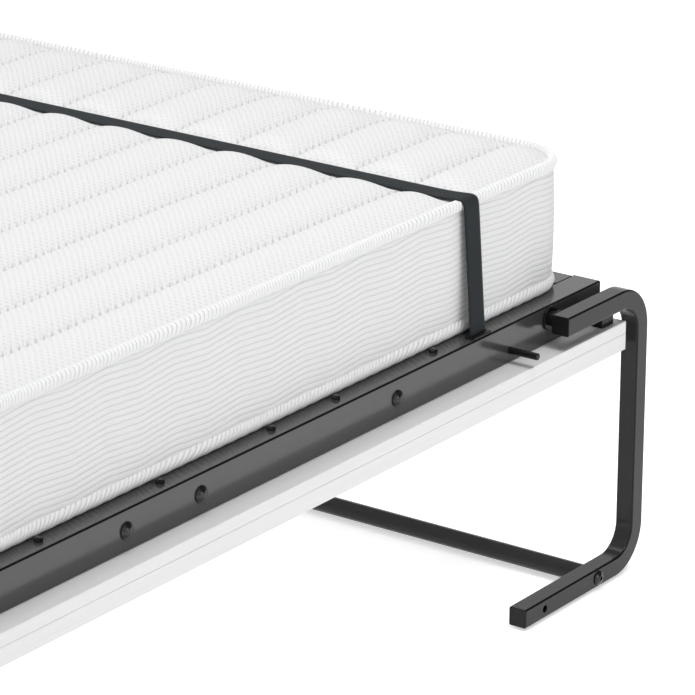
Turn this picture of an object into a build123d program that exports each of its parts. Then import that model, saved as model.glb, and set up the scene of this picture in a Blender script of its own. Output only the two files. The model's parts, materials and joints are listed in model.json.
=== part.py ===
from build123d import *
import math
import os

# Fold-down bed: a steel frame on a white front panel, carried at the foot end by a swinging
# C-shaped leg and at the head end by two hinge stands with gas struts.
# Row frame in millimetres: +X towards the foot end, +Y to the left side of a person lying on
# their back, +Z up. The origin is on the floor under the middle of the bounding box.

# ---- driving dimensions -------------------------------------------------------------------
overall_length = 2168.0
mattress_length = 2000.0
mattress_width = 1200.0
mattress_height = 172.0
mattress_corner_radius = 72.0
mattress_edge_radius = 12.0

rail_height = 50.0
rail_width = 40.0
rail_wall = 2.0
rail_top_z = 393.0
rail_length = 2032.0
rail_outset = 24.0            # rail outer face beyond the mattress side
cap_thickness = 2.0

panel_length = 2060.0
panel_overhang = 32.5         # panel edge beyond the rail outer face
panel_upper_thickness = 16.0
panel_outer_thickness = 22.0
panel_edge_radius = 1.0

leg_tube = 25.0
leg_wall = 2.0
leg_corner_radius = 2.5
leg_bend_radius = 47.5        # centre line
leg_drop = 360.0              # arm centre line to lower arm centre line
leg_end_gap = 15.0            # panel end to the leg's inner face
leg_side_gap = 15.5           # rail face to the arm
leg_pivot_setback = 129.0     # pivot behind the panel's foot end
leg_pivot_below_top = 16.5
arm_tail = 17.0               # arm end behind the pivot
lower_arm_setback = 229.0     # lower arm end behind the panel's foot end
cross_tube_setback = 63.0
cross_tube_radius = 12.0
leg_spare_hole_setback = 187.0
leg_spare_hole_radius = 5.0
glide_setbacks = (85.0, 209.0)
glide_radius = 7.0
glide_stub_radius = 3.0

stop_gap = 0.3                # daylight between a stop and the arm
stop_pin_radius = 4.4
stop_pin_setback = 217.0
stop_pin_reach = 42.0
stop_block_setbacks = (17.0, 44.0)
stop_block_depth = 24.0

tilt_pivot_to_head = 258.0    # tilt pivot in front of the rail's head end
tilt_bolt_radius = 8.0
tilt_bush_radius = 12.0
running_clearance = 0.05
stand_gap = 6.0               # panel edge to the stand plate
stand_plate = 5.0
stand_back = 340.0            # stand reach behind the tilt pivot
stand_front = 120.0
stand_flange = 55.0
anchor_hole_radius = 4.5
anchor_hole_pitch = 360.0
tie_tube_height = 30.0
tie_tube_depth = 50.0

strut_anchor = (-38.0, 36.0)  # fixed end, from the tilt pivot, X and Z
strut_stud_x = -232.0         # moving end on the rail, from the tilt pivot
strut_offset = 18.0           # strut centre plane outside the rail face
strut_radius = 10.0
strut_wall = 2.0
strut_barrel = 130.0
strut_rod_radius = 5.0
strut_eye_radius = 9.0
strut_eye_width = 10.0

slat_count = 13
slat_width = 85.0
slat_thickness = 9.0
slat_drop = 1.0               # slat top below the rail top
holder_wall = 2.0
holder_reach = 36.0

member_setbacks = (456.0, 900.0, 1480.0)
member_widths = (40.0, 172.0, 40.0)
member_bolt_spread = 66.0     # half the spacing of the wide member's two bolts
member_height = 30.0
member_wall = 2.0
member_flange = 4.0

dome_radius = 10.3
dome_height = 6.0
dome_rim = 1.4
rail_bolt_radius = 4.0
panel_bolt_setbacks = (356.0, 555.0, 680.0, 884.0, 1092.0, 1296.0, 1500.0, 1704.0, 1908.0)
panel_bolt_inset = 18.0
panel_bolt_radius = 3.0
panel_nut_flats = 9.0
panel_nut_height = 4.0

strap_setback = 274.0
strap_width = 31.0
strap_thickness = 2.0
strap_foot_inset = 10.0       # strap foot inside the rail outer face
strap_guide_length = 37.0
strap_guide_depth = 14.0
strap_guide_height = 2.6

# ---- derived places -----------------------------------------------------------------------
half_length = overall_length / 2
panel_foot_x = half_length - leg_tube - leg_end_gap
panel_head_x = panel_foot_x - panel_length
bed_mid_x = (panel_foot_x + panel_head_x) / 2
rail_foot_x = bed_mid_x + rail_length / 2
rail_head_x = bed_mid_x - rail_length / 2
rail_outer_y = mattress_width / 2 + rail_outset
rail_inner_y = rail_outer_y - rail_width
rail_mid_y = rail_outer_y - rail_width / 2
rail_mid_z = rail_top_z - rail_height / 2
rail_bottom_z = rail_top_z - rail_height
panel_edge_y = rail_outer_y + panel_overhang
leg_pivot_x = panel_foot_x - leg_pivot_setback
leg_pivot_z = rail_top_z - leg_pivot_below_top
leg_mid_y = rail_outer_y + leg_side_gap + leg_tube / 2
leg_inner_y = rail_outer_y + leg_side_gap
leg_outer_y = leg_inner_y + leg_tube
leg_low_z = leg_pivot_z - leg_drop
leg_bottom_z = leg_low_z - leg_tube / 2
cross_tube_x = panel_foot_x - cross_tube_setback
tilt_x = rail_head_x + tilt_pivot_to_head
tilt_z = rail_mid_z
stand_inner_y = panel_edge_y + stand_gap
stand_outer_y = stand_inner_y + stand_plate
strut_mid_y = rail_outer_y + strut_offset


# ---- helpers ------------------------------------------------------------------------------
def block(x0, x1, y0, y1, z0, z1):
    """Box between two corners."""
    box = Box(x1 - x0, y1 - y0, z1 - z0)
    return Pos((x0 + x1) / 2, (y0 + y1) / 2, (z0 + z1) / 2) * box


def rod_y(x, z, y0, y1, radius):
    """Round bar along Y."""
    bar = Rot(90, 0, 0) * Cylinder(radius, abs(y1 - y0))
    return Pos(x, (y0 + y1) / 2, z) * bar


def rod_z(x, y, z0, z1, radius):
    """Round bar along Z."""
    return Pos(x, y, (z0 + z1) / 2) * Cylinder(radius, z1 - z0)


def hex_y(x, z, y0, y1, flats):
    """Hexagonal bar along Y."""
    bar = extrude(RegularPolygon(flats / math.sqrt(3), 6), amount=abs(y1 - y0) / 2, both=True)
    return Pos(x, (y0 + y1) / 2, z) * Rot(90, 0, 0) * bar


def hex_z(x, y, z0, z1, flats):
    """Hexagonal bar along Z."""
    bar = extrude(RegularPolygon(flats / math.sqrt(3), 6), amount=(z1 - z0) / 2, both=True)
    return Pos(x, y, (z0 + z1) / 2) * bar


def dome_y(x, z, y_face, side, radius, height):
    """Domed screw head with a short rim that stands out of a face along Y."""
    cap = height - dome_rim
    sphere_radius = (radius ** 2 + cap ** 2) / (2 * cap)
    ball = Pos(x, y_face + side * (height - sphere_radius), z) * Sphere(sphere_radius)
    return ball & rod_y(x, z, y_face, y_face + side * height, radius)


def group(shapes):
    """Separate solids in one node."""
    return Compound(children=list(shapes))


nodes = {}


def rounded_tube_x(x0, x1, y, z, width, height, wall, corner):
    """Rectangular hollow section along X."""
    outer = RectangleRounded(width, height, corner)
    inner = RectangleRounded(width - 2 * wall, height - 2 * wall, max(corner - wall, 0.5))
    return Plane((x0, y, z), x_dir=(0, 1, 0), z_dir=(1, 0, 0)) * extrude(outer - inner, amount=x1 - x0)


def rounded_tube_y(x, z, y0, y1, width, height, wall, corner):
    """Rectangular hollow section along Y."""
    outer = RectangleRounded(width, height, corner)
    inner = RectangleRounded(width - 2 * wall, height - 2 * wall, max(corner - wall, 0.5))
    return Plane((x, y0, z), x_dir=(1, 0, 0), z_dir=(0, 1, 0)) * extrude(outer - inner, amount=y1 - y0)


# ---- bed frame ----------------------------------------------------------------------------
def member_bolt_xs():
    """X of every bolt that fixes a cross member to the side rails."""
    xs = []
    for setback, width in zip(member_setbacks, member_widths):
        spread = member_bolt_spread if width > 2 * member_bolt_spread else 0.0
        xs += sorted({panel_foot_x - setback - spread, panel_foot_x - setback + spread})
    return xs


def side_rail(side):
    """Rectangular tube with the holes for its pivots, stops and bolts."""
    rail = rounded_tube_x(rail_head_x, rail_foot_x, side * rail_mid_y, rail_mid_z,
                          rail_width, rail_height, rail_wall, 3.0)
    y0, y1 = side * (rail_inner_y - 1), side * (rail_outer_y + 1)
    rail -= rod_y(tilt_x, tilt_z, y0, y1, tilt_bush_radius)
    rail -= rod_y(leg_pivot_x, leg_pivot_z, y0, y1, leg_pin_radius + running_clearance)
    rail -= rod_y(stop_pin_x, stop_pin_z, side * (rail_mid_y), y1, stop_pin_radius)
    for x in member_bolt_xs():
        rail -= rod_y(x, rail_mid_z, y0, y1, rail_bolt_radius + 0.2)
    for setback in panel_bolt_setbacks:
        rail -= rod_z(panel_foot_x - setback, side * (rail_outer_y - panel_bolt_inset),
                      rail_bottom_z - 1, rail_top_z + 1, panel_bolt_radius + 0.2)
    return rail


def end_rail(x_outer, direction):
    """Cross rail between the side rails at one end of the frame."""
    x = x_outer - direction * rail_width / 2
    return rounded_tube_y(x, rail_mid_z, -rail_inner_y, rail_inner_y,
                          rail_width, rail_height, rail_wall, 3.0)


def rail_end_cap(x_end, direction, side):
    """Plastic cap: a thin plate with a ribbed plug in the tube."""
    y = side * rail_mid_y
    plate_width = rail_width + 0.6
    plate = extrude(RectangleRounded(plate_width, rail_height, 2.0), amount=cap_thickness)
    plug = extrude(RectangleRounded(rail_width - 2 * rail_wall - 0.4,
                                    rail_height - 2 * rail_wall - 0.4, 1.0), amount=-16.0)
    plug -= extrude(RectangleRounded(rail_width - 2 * rail_wall - 4,
                                     rail_height - 2 * rail_wall - 4, 1.0), amount=-17.0)
    cap = fillet(plate.edges().group_by(Axis.Z)[-1], 0.8) + plug
    return Plane((x_end, y, rail_mid_z), x_dir=(0, 1, 0), z_dir=(direction, 0, 0)) * cap


def cross_member(setback, width):
    """Box tube with a welded flange at each end."""
    x = panel_foot_x - setback
    z = rail_bottom_z + member_height / 2
    reach = rail_inner_y - member_flange
    tube = rounded_tube_y(x, z, -reach, reach, width, member_height, member_wall, 2.5)
    flanges = []
    for side in (-1, 1):
        plate = block(x - width / 2, x + width / 2, *sorted((side * reach, side * rail_inner_y)),
                      rail_bottom_z, rail_bottom_z + 34)
        for bolt_x in member_bolt_xs():
            plate -= rod_y(bolt_x, rail_mid_z, side * (reach - 1), side * (rail_inner_y + 1),
                           rail_bolt_radius + 0.2)
        flanges.append(plate)
    nut_room = [rod_y(bolt_x, rail_mid_z, -reach, reach, 9.0) for bolt_x in member_bolt_xs()]
    for room in nut_room:
        tube -= room & block(x - 200, x + 200, -reach, -reach + 9, 0, rail_top_z)
        tube -= room & block(x - 200, x + 200, reach - 9, reach, 0, rail_top_z)
    return tube + flanges[0] + flanges[1]


def rail_bolt(x, side):
    """Carriage bolt from the rail's outer face, with its nut behind the flange."""
    y_face = side * rail_outer_y
    y_flange = side * (rail_inner_y - member_flange)
    head = dome_y(x, rail_mid_z, y_face, side, dome_radius, dome_height)
    shank = rod_y(x, rail_mid_z, y_face, y_flange - side * 8.5, rail_bolt_radius)
    nut = hex_y(x, rail_mid_z, y_flange, y_flange - side * 6.5, 13.0)
    return head + shank + nut


def panel_bolt(x, side):
    """Stud up through the board and the rail, with a nut on the rail's top."""
    y = side * (rail_outer_y - panel_bolt_inset)
    shank = rod_z(x, y, rail_bottom_z - 12, rail_top_z + panel_nut_height + 1.0, panel_bolt_radius)
    nut = hex_z(x, y, rail_top_z, rail_top_z + panel_nut_height, panel_nut_flats)
    nut = chamfer(nut.edges().group_by(Axis.Z)[-1], 0.5)
    return shank + nut


def slat_xs():
    """X of the slats, spread evenly between the end rails."""
    inner_length = rail_length - 2 * rail_width
    pitch = inner_length / slat_count
    start = rail_head_x + rail_width + pitch / 2
    return [start + i * pitch for i in range(slat_count)]


def slat(x):
    """Plywood slat with eased edges."""
    top = rail_top_z - slat_drop
    reach = rail_inner_y - holder_wall - 0.5
    body = block(x - slat_width / 2, x + slat_width / 2, -reach, reach, top - slat_thickness, top)
    return fillet(body.edges().filter_by(Axis.Y), 2.0)


def slat_holder(x, side):
    """Plastic cradle on the rail's inner face that holds one slat end."""
    top = rail_top_z - slat_drop
    half = slat_width / 2 + 0.3
    outer = block(x - half - holder_wall, x + half + holder_wall,
                  *sorted((side * rail_inner_y, side * (rail_inner_y - holder_reach))),
                  top - slat_thickness - holder_wall, top)
    pocket = block(x - half, x + half,
                   *sorted((side * (rail_inner_y - holder_wall), side * (rail_inner_y - holder_reach - 1))),
                   top - slat_thickness, top + 1)
    return outer - pocket


# ---- front panel --------------------------------------------------------------------------
def panel_board(z_top, thickness, bolt_holes):
    """White faced board with softened edges."""
    board = block(panel_head_x, panel_foot_x, -panel_edge_y, panel_edge_y, z_top - thickness, z_top)
    board = fillet(board.edges(), panel_edge_radius)
    if bolt_holes:
        for side in (-1, 1):
            for setback in panel_bolt_setbacks:
                board -= rod_z(panel_foot_x - setback, side * (rail_outer_y - panel_bolt_inset),
                               z_top - 12, z_top + 1, panel_bolt_radius)
    return board


# ---- swinging leg -------------------------------------------------------------------------
leg_pin_radius = 6.0
stop_pin_x = panel_foot_x - stop_pin_setback
stop_pin_z = leg_pivot_z - leg_tube / 2 - stop_gap - stop_pin_radius
leg_end_x = panel_foot_x + leg_end_gap + leg_tube / 2
lower_arm_x = panel_foot_x - lower_arm_setback
arm_end_x = leg_pivot_x - arm_tail


def leg_bent_tube(side):
    """Square tube bent into a C: arm, upright and lower arm."""
    y = side * leg_mid_y
    path = FilletPolyline((arm_end_x, y, leg_pivot_z), (leg_end_x, y, leg_pivot_z),
                          (leg_end_x, y, leg_low_z), (lower_arm_x, y, leg_low_z),
                          radius=leg_bend_radius)
    start = Plane((arm_end_x, y, leg_pivot_z), x_dir=(0, 1, 0), z_dir=(1, 0, 0))
    outer = start * RectangleRounded(leg_tube, leg_tube, leg_corner_radius)
    inner = start * RectangleRounded(leg_tube - 2 * leg_wall, leg_tube - 2 * leg_wall, 0.6)
    tube = sweep(outer, path=path) - sweep(inner, path=path)
    y_in, y_out = side * (leg_inner_y - 1), side * (leg_outer_y + 1)
    tube -= rod_y(leg_pivot_x, leg_pivot_z, y_in, y, leg_pin_radius)
    tube -= rod_y(cross_tube_x, leg_low_z, y_in, y_out, 5.0)
    tube -= rod_y(panel_foot_x - leg_spare_hole_setback, leg_low_z, y_in, y_out, leg_spare_hole_radius)
    for setback in glide_setbacks:
        tube -= rod_z(panel_foot_x - setback, y, leg_bottom_z - 1, leg_low_z, glide_stub_radius)
    return tube


def leg_end_plug(x, z, side):
    """Plug with a flush face that closes an open tube end; the ends face -X."""
    inside = leg_tube - 2 * leg_wall
    face = RectangleRounded(leg_tube, leg_tube, leg_corner_radius)
    stem = RectangleRounded(inside - 0.4, inside - 0.4, 0.5)
    plate = fillet(extrude(face, amount=1.5).edges().group_by(Axis.Z)[-1], 0.7)
    plug = plate + extrude(stem, amount=-8.0)
    return Plane((x, side * leg_mid_y, z), x_dir=(0, 1, 0), z_dir=(-1, 0, 0)) * plug


def leg_cross_tube():
    """Round tube between the two lower arms, with a tapped plug in each end."""
    tube = rod_y(cross_tube_x, leg_low_z, -leg_inner_y, leg_inner_y, cross_tube_radius)
    tube -= rod_y(cross_tube_x, leg_low_z, -leg_inner_y + 14, leg_inner_y - 14, cross_tube_radius - 2)
    tube -= rod_y(cross_tube_x, leg_low_z, -leg_inner_y - 1, leg_inner_y + 1, 4.2)
    return tube


def leg_screw(side):
    """Domed screw through the lower arm into the cross tube."""
    head = dome_y(cross_tube_x, leg_low_z, side * leg_outer_y, side, 9.5, 5.2)
    shank = rod_y(cross_tube_x, leg_low_z, side * leg_outer_y, side * (leg_inner_y - 12), 4.1)
    socket = hex_y(cross_tube_x, leg_low_z, side * (leg_outer_y + 2.8), side * (leg_outer_y + 7), 5.0)
    return head + shank - socket


def leg_glide(setback, side):
    """Plastic glide: a foot disc with a stub in the tube."""
    x, y = panel_foot_x - setback, side * leg_mid_y
    foot = rod_z(x, y, 0, leg_bottom_z, glide_radius)
    foot = fillet(foot.edges().group_by(Axis.Z)[0], 1.0)
    return foot + rod_z(x, y, leg_bottom_z, leg_bottom_z + 7, glide_stub_radius)


def leg_pivot_pin(side):
    """Stub shaft welded in the arm, with its retaining collar inside the rail."""
    y_collar = rail_outer_y - rail_wall - 0.3
    shaft = rod_y(leg_pivot_x, leg_pivot_z, side * (leg_mid_y - 2), side * rail_inner_y, leg_pin_radius)
    return shaft + rod_y(leg_pivot_x, leg_pivot_z, side * y_collar, side * (y_collar - 6), 10.0)


def leg_pivot_washers(side):
    """Broad washer on the rail, spacer sleeve and thin washer against the arm."""
    bore = leg_pin_radius + running_clearance
    stack = rod_y(leg_pivot_x, leg_pivot_z, side * rail_outer_y, side * (rail_outer_y + 3), 15.4)
    stack = fillet(stack.edges(), 1.0)
    stack += rod_y(leg_pivot_x, leg_pivot_z, side * (rail_outer_y + 3), side * (leg_inner_y - 3.3), 9.5)
    stack += rod_y(leg_pivot_x, leg_pivot_z, side * (leg_inner_y - 3.3), side * (leg_inner_y - 0.3), 12.0)
    return stack - rod_y(leg_pivot_x, leg_pivot_z, side * rail_outer_y, side * leg_inner_y, bore)


def stop_pin(side):
    """Round pin that carries the arm when the leg is folded over."""
    pin = rod_y(stop_pin_x, stop_pin_z, side * (rail_outer_y - 12),
                side * (rail_outer_y + stop_pin_reach), stop_pin_radius)
    end = pin.edges().filter_by(GeomType.CIRCLE).sort_by(Axis.Y)
    return fillet(end[-1] if side > 0 else end[0], 1.5)


def stop_block(side):
    """Block on the rail face that the arm rests on when the leg is down."""
    near, far = stop_block_setbacks
    body = block(panel_foot_x - far, panel_foot_x - near,
                 *sorted((side * rail_outer_y, side * (rail_outer_y + stop_block_depth))),
                 rail_bottom_z, leg_pivot_z - leg_tube / 2 - stop_gap)
    return fillet(body.edges().filter_by(Axis.Z) + body.edges().group_by(Axis.Z)[-1], 1.0)


# ---- hinge stands -------------------------------------------------------------------------
def hinge_stand(side):
    """Steel side plate with a folded floor flange."""
    outline = [(-stand_back, 0.0), (-stand_back, 90.0), (-86.0, tilt_z + 46.0), (-62.0, tilt_z + 66.0),
               (2.0, tilt_z + 66.0), (44.0, tilt_z + 34.0), (44.0, tilt_z - 30.0), (stand_front, 90.0),
               (stand_front, 0.0)]
    points = [(tilt_x + dx, z) for dx, z in outline]
    face = Plane.XZ * make_face(Polyline(*points, close=True))
    y = side * (stand_inner_y + stand_plate / 2)
    plate = Pos(0, y, 0) * extrude(face, amount=stand_plate / 2, both=True)
    plate = fillet([e for e in plate.edges().filter_by(Axis.Y) if e.center().Z > 60], 18.0)
    flange = block(tilt_x - stand_back, tilt_x + stand_front,
                   *sorted((side * stand_inner_y, side * (stand_outer_y + stand_flange))), 0, stand_plate)
    flange = fillet(flange.edges().filter_by(Axis.Z), 2.0)
    stand = plate + flange
    for x in anchor_xs:
        stand -= rod_z(x, side * anchor_y, -1, stand_plate + 1, anchor_hole_radius)
    stand -= rod_y(tilt_x, tilt_z, side * (stand_inner_y - 1), side * (stand_outer_y + 1), tilt_bolt_radius)
    stand -= rod_y(tilt_x + strut_anchor[0], tilt_z + strut_anchor[1],
                   side * (stand_inner_y - 1), side * (stand_outer_y + 1), 5.0)
    for x in tie_bolt_xs:
        stand -= rod_y(x, tie_z, side * (stand_inner_y - 1), side * (stand_outer_y + 1), 4.2)
    return stand


anchor_y = stand_outer_y + 32.0
anchor_xs = (tilt_x - stand_back / 2 + stand_front / 2 - anchor_hole_pitch / 2,
             tilt_x - stand_back / 2 + stand_front / 2 + anchor_hole_pitch / 2)
tie_x = tilt_x - stand_back + 45.0
tie_z = 35.0
tie_bolt_xs = (tie_x - 12.0, tie_x + 12.0)


def base_tie_tube():
    """Tube across the floor that joins the two stands, with closed ends."""
    tube = rounded_tube_y(tie_x, tie_z, -stand_inner_y, stand_inner_y,
                          tie_tube_depth, tie_tube_height, 2.0, 3.0)
    for side in (-1, 1):
        end = block(tie_x - tie_tube_depth / 2 + 2, tie_x + tie_tube_depth / 2 - 2,
                    *sorted((side * (stand_inner_y - 5), side * stand_inner_y)),
                    tie_z - tie_tube_height / 2 + 2, tie_z + tie_tube_height / 2 - 2)
        tube += end
    for x in tie_bolt_xs:
        tube -= rod_y(x, tie_z, -stand_inner_y - 1, stand_inner_y + 1, 4.0)
    return tube


def tie_bolt(x, side):
    """Hexagon bolt through the stand into the tie tube's end."""
    head = hex_y(x, tie_z, side * stand_outer_y, side * (stand_outer_y + 5.3), 13.0)
    return head + rod_y(x, tie_z, side * stand_outer_y, side * (stand_inner_y - 14), 4.0)


def tilt_bolt(side):
    """Shoulder bolt: flat head inside the frame, shoulder between rail and stand."""
    y_head = rail_inner_y - 0.5
    y_shoulder = rail_outer_y + 2.5
    shank = rod_y(tilt_x, tilt_z, side * (y_head - 1), side * (stand_outer_y + 11), tilt_bolt_radius)
    head = fillet(rod_y(tilt_x, tilt_z, side * (y_head - 7), side * y_head, 12.5).edges(), 1.0)
    socket = hex_y(tilt_x, tilt_z, side * (y_head - 4), side * (y_head - 9), 10.0)
    shoulder = rod_y(tilt_x, tilt_z, side * y_shoulder, side * stand_inner_y, 14.0)
    return shank + head + shoulder - socket


def tilt_nut(side):
    """Nut and washer outside the stand plate."""
    washer = rod_y(tilt_x, tilt_z, side * stand_outer_y, side * (stand_outer_y + 1.5), 15.0)
    nut = hex_y(tilt_x, tilt_z, side * (stand_outer_y + 1.5), side * (stand_outer_y + 9.5), 24.0)
    return washer + nut - rod_y(tilt_x, tilt_z, side * stand_inner_y, side * (stand_outer_y + 20), tilt_bolt_radius)


def tilt_bush(side):
    """Flanged plastic bush in the rail."""
    bush = rod_y(tilt_x, tilt_z, side * rail_inner_y, side * rail_outer_y, tilt_bush_radius)
    bush += rod_y(tilt_x, tilt_z, side * rail_outer_y, side * (rail_outer_y + 2.0), tilt_bush_radius + 4)
    return bush - rod_y(tilt_x, tilt_z, side * (rail_inner_y - 1), side * (rail_outer_y + 3),
                        tilt_bolt_radius + running_clearance)


# ---- gas struts ---------------------------------------------------------------------------
strut_x0 = tilt_x + strut_anchor[0]
strut_z0 = tilt_z + strut_anchor[1]
strut_dx = tilt_x + strut_stud_x - strut_x0
strut_dz = tilt_z - strut_z0
strut_length = math.hypot(strut_dx, strut_dz)
strut_angle = math.degrees(math.atan2(strut_dz, strut_dx))


def on_strut(shape, side):
    """Carry a shape built along +X from the anchor onto the strut's line."""
    return Pos(strut_x0, side * strut_mid_y, strut_z0) * Rot(0, -strut_angle, 0) * shape


def rod_x(x0, x1, radius):
    """Round bar along X on the local axis."""
    return Pos((x0 + x1) / 2, 0, 0) * Rot(0, 90, 0) * Cylinder(radius, x1 - x0)


def strut_cylinder(side):
    """Pressure tube with its eye at the fixed end."""
    start = 13.0
    tube = rod_x(start, start + strut_barrel, strut_radius)
    tube -= rod_x(start + 4, start + strut_barrel - 8, strut_radius - strut_wall)
    tube -= rod_x(start + 4, start + strut_barrel + 1, strut_rod_radius + running_clearance)
    eye = rod_y(0, 0, -strut_eye_width / 2, strut_eye_width / 2, strut_eye_radius)
    neck = rod_x(2, start, 5.0)
    eye = eye + neck - rod_y(0, 0, -strut_eye_width, strut_eye_width, 5.0 + running_clearance)
    return on_strut(tube + eye, side)


def strut_rod(side):
    """Polished rod with its piston and the ball socket at the moving end."""
    piston = rod_x(33.0, 41.0, strut_radius - strut_wall - running_clearance)
    rod = rod_x(33.0, strut_length - 4, strut_rod_radius)
    socket = rod_y(strut_length, 0, -strut_eye_width / 2, strut_eye_width / 2, strut_eye_radius)
    socket = fillet(socket.edges(), 1.5)
    return on_strut(piston + rod + socket, side)


def strut_anchor_pin(side):
    """Pin in the stand plate that the strut eye turns on."""
    pin = rod_y(strut_x0, strut_z0, side * (strut_mid_y - strut_eye_width / 2 - 1.5),
                side * (stand_outer_y + 4), 5.0)
    cap = rod_y(strut_x0, strut_z0, side * (strut_mid_y - strut_eye_width / 2 - 3.5),
                side * (strut_mid_y - strut_eye_width / 2 - 0.5), 8.0)
    collar = rod_y(strut_x0, strut_z0, side * (strut_mid_y + strut_eye_width / 2 + 0.5),
                   side * stand_inner_y, 8.0)
    return pin + cap + collar


def strut_stud(side):
    """Stud on the rail that the strut's socket faces, with its base washer."""
    x = tilt_x + strut_stud_x
    y_tip = strut_mid_y - strut_eye_width / 2 - 0.6
    base = rod_y(x, tilt_z, side * rail_outer_y, side * (rail_outer_y + 3), 11.0)
    return base + rod_y(x, tilt_z, side * rail_outer_y, side * y_tip, 5.0)


# ---- mattress and strap -------------------------------------------------------------------
def mattress():
    """Plain rounded block of the mattress's full size."""
    z0 = rail_top_z
    outline = RectangleRounded(mattress_length, mattress_width, mattress_corner_radius)
    body = extrude(outline, amount=mattress_height)
    body = fillet(body.edges().group_by(Axis.Z)[0] + body.edges().group_by(Axis.Z)[-1],
                  mattress_edge_radius)
    return Pos(bed_mid_x, 0, z0) * body


def mattress_strap():
    """Flat strap over the mattress, down to a guide on each rail."""
    top = rail_top_z + mattress_height + 0.4
    foot_y = rail_outer_y - strap_foot_inset
    foot_z = rail_top_z + 0.4
    edge_y = mattress_width / 2 + 1.0
    inner = [(-foot_y, foot_z), (-edge_y, top - 8), (-edge_y + 8, top),
             (edge_y - 8, top), (edge_y, top - 8), (foot_y, foot_z)]
    outer_y = strap_thickness
    outer = [(foot_y + outer_y, foot_z), (edge_y + outer_y, top - 7), (edge_y - 7, top + strap_thickness),
             (-edge_y + 7, top + strap_thickness), (-edge_y - outer_y, top - 7),
             (-foot_y - outer_y, foot_z)]
    face = Plane.YZ * make_face(Polyline(*(inner + outer), close=True))
    return Pos(panel_foot_x - strap_setback, 0, 0) * extrude(face, amount=strap_width / 2, both=True)


def strap_guide(side):
    """Low plastic guide on the rail's top with the slot that takes the strap."""
    x = panel_foot_x - strap_setback
    body = block(x - strap_guide_length / 2, x + strap_guide_length / 2,
                 *sorted((side * (rail_outer_y - 1.5), side * (rail_outer_y - 1.5 - strap_guide_depth))),
                 rail_top_z, rail_top_z + strap_guide_height)
    body = fillet(body.edges().group_by(Axis.Z)[-1], 1.0)
    y_slot = side * (rail_outer_y - strap_foot_inset + strap_thickness / 2)
    return body - block(x - strap_width / 2 - 1, x + strap_width / 2 + 1, y_slot - 2.6, y_slot + 2.6,
                        rail_top_z + 0.4, rail_top_z + strap_guide_height + 1)


# ---- assembly -----------------------------------------------------------------------------
sides = {"left": 1, "right": -1}
for name, side in sides.items():
    nodes[f"hinge_stand_{name}"] = hinge_stand(side)
    nodes[f"tilt_pivot_bolt_{name}"] = tilt_bolt(side)
    nodes[f"tilt_bush_{name}"] = tilt_bush(side)
    nodes[f"gas_strut_cylinder_{name}"] = strut_cylinder(side)
    nodes[f"gas_strut_rod_{name}"] = strut_rod(side)
    nodes[f"strut_stud_{name}"] = strut_stud(side)
    nodes[f"side_rail_{name}"] = side_rail(side)
    nodes[f"slat_holders_{name}"] = group([slat_holder(x, side) for x in slat_xs()])
    nodes[f"stop_pin_{name}"] = stop_pin(side)
    nodes[f"stop_block_{name}"] = stop_block(side)
    nodes[f"leg_tube_{name}"] = leg_bent_tube(side)
    nodes[f"leg_pivot_pin_{name}"] = leg_pivot_pin(side)
    nodes[f"strap_guide_{name}"] = strap_guide(side)

nodes["tilt_pivot_nuts"] = group([tilt_nut(s) for s in (-1, 1)])
nodes["strut_anchor_pins"] = group([strut_anchor_pin(s) for s in (-1, 1)])
nodes["base_tie_tube"] = base_tie_tube()
nodes["base_tie_bolts"] = group([tie_bolt(x, s) for x in tie_bolt_xs for s in (-1, 1)])
nodes["foot_cross_rail"] = end_rail(rail_foot_x, 1)
nodes["head_cross_rail"] = end_rail(rail_head_x, -1)
nodes["rail_end_caps"] = group([rail_end_cap(x, d, s) for s in (-1, 1)
                                for x, d in ((rail_foot_x, 1), (rail_head_x, -1))])
for name, setback, width in zip(("foot", "centre", "head"), member_setbacks, member_widths):
    nodes[f"cross_member_{name}"] = cross_member(setback, width)
nodes["rail_bolts"] = group([rail_bolt(x, s) for x in member_bolt_xs() for s in (-1, 1)])
nodes["panel_bolts"] = group([panel_bolt(panel_foot_x - b, s) for b in panel_bolt_setbacks for s in (-1, 1)])
nodes["panel_upper_board"] = panel_board(rail_bottom_z, panel_upper_thickness, True)
nodes["panel_outer_board"] = panel_board(rail_bottom_z - panel_upper_thickness, panel_outer_thickness, False)
for number, x in enumerate(slat_xs(), start=1):
    nodes[f"slat_{number:02d}"] = slat(x)
nodes["leg_cross_tube"] = leg_cross_tube()
nodes["leg_end_plugs"] = group([leg_end_plug(x, z, s) for s in (-1, 1)
                                for x, z in ((arm_end_x, leg_pivot_z), (lower_arm_x, leg_low_z))])
nodes["leg_screws"] = group([leg_screw(s) for s in (-1, 1)])
nodes["leg_glides"] = group([leg_glide(b, s) for b in glide_setbacks for s in (-1, 1)])
nodes["leg_pivot_washers"] = group([leg_pivot_washers(s) for s in (-1, 1)])
nodes["mattress"] = mattress()
nodes["mattress_strap"] = mattress_strap()

os.makedirs("parts", exist_ok=True)
for name, shape in nodes.items():
    export_step(shape, f"parts/{name}.step")
print(len(nodes), "nodes; strut length", round(strut_length, 2), "angle", round(strut_angle, 2))
print("tilt pivot", tilt_x, tilt_z, "leg pivot", leg_pivot_x, leg_pivot_z)
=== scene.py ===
import json
import math

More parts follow.
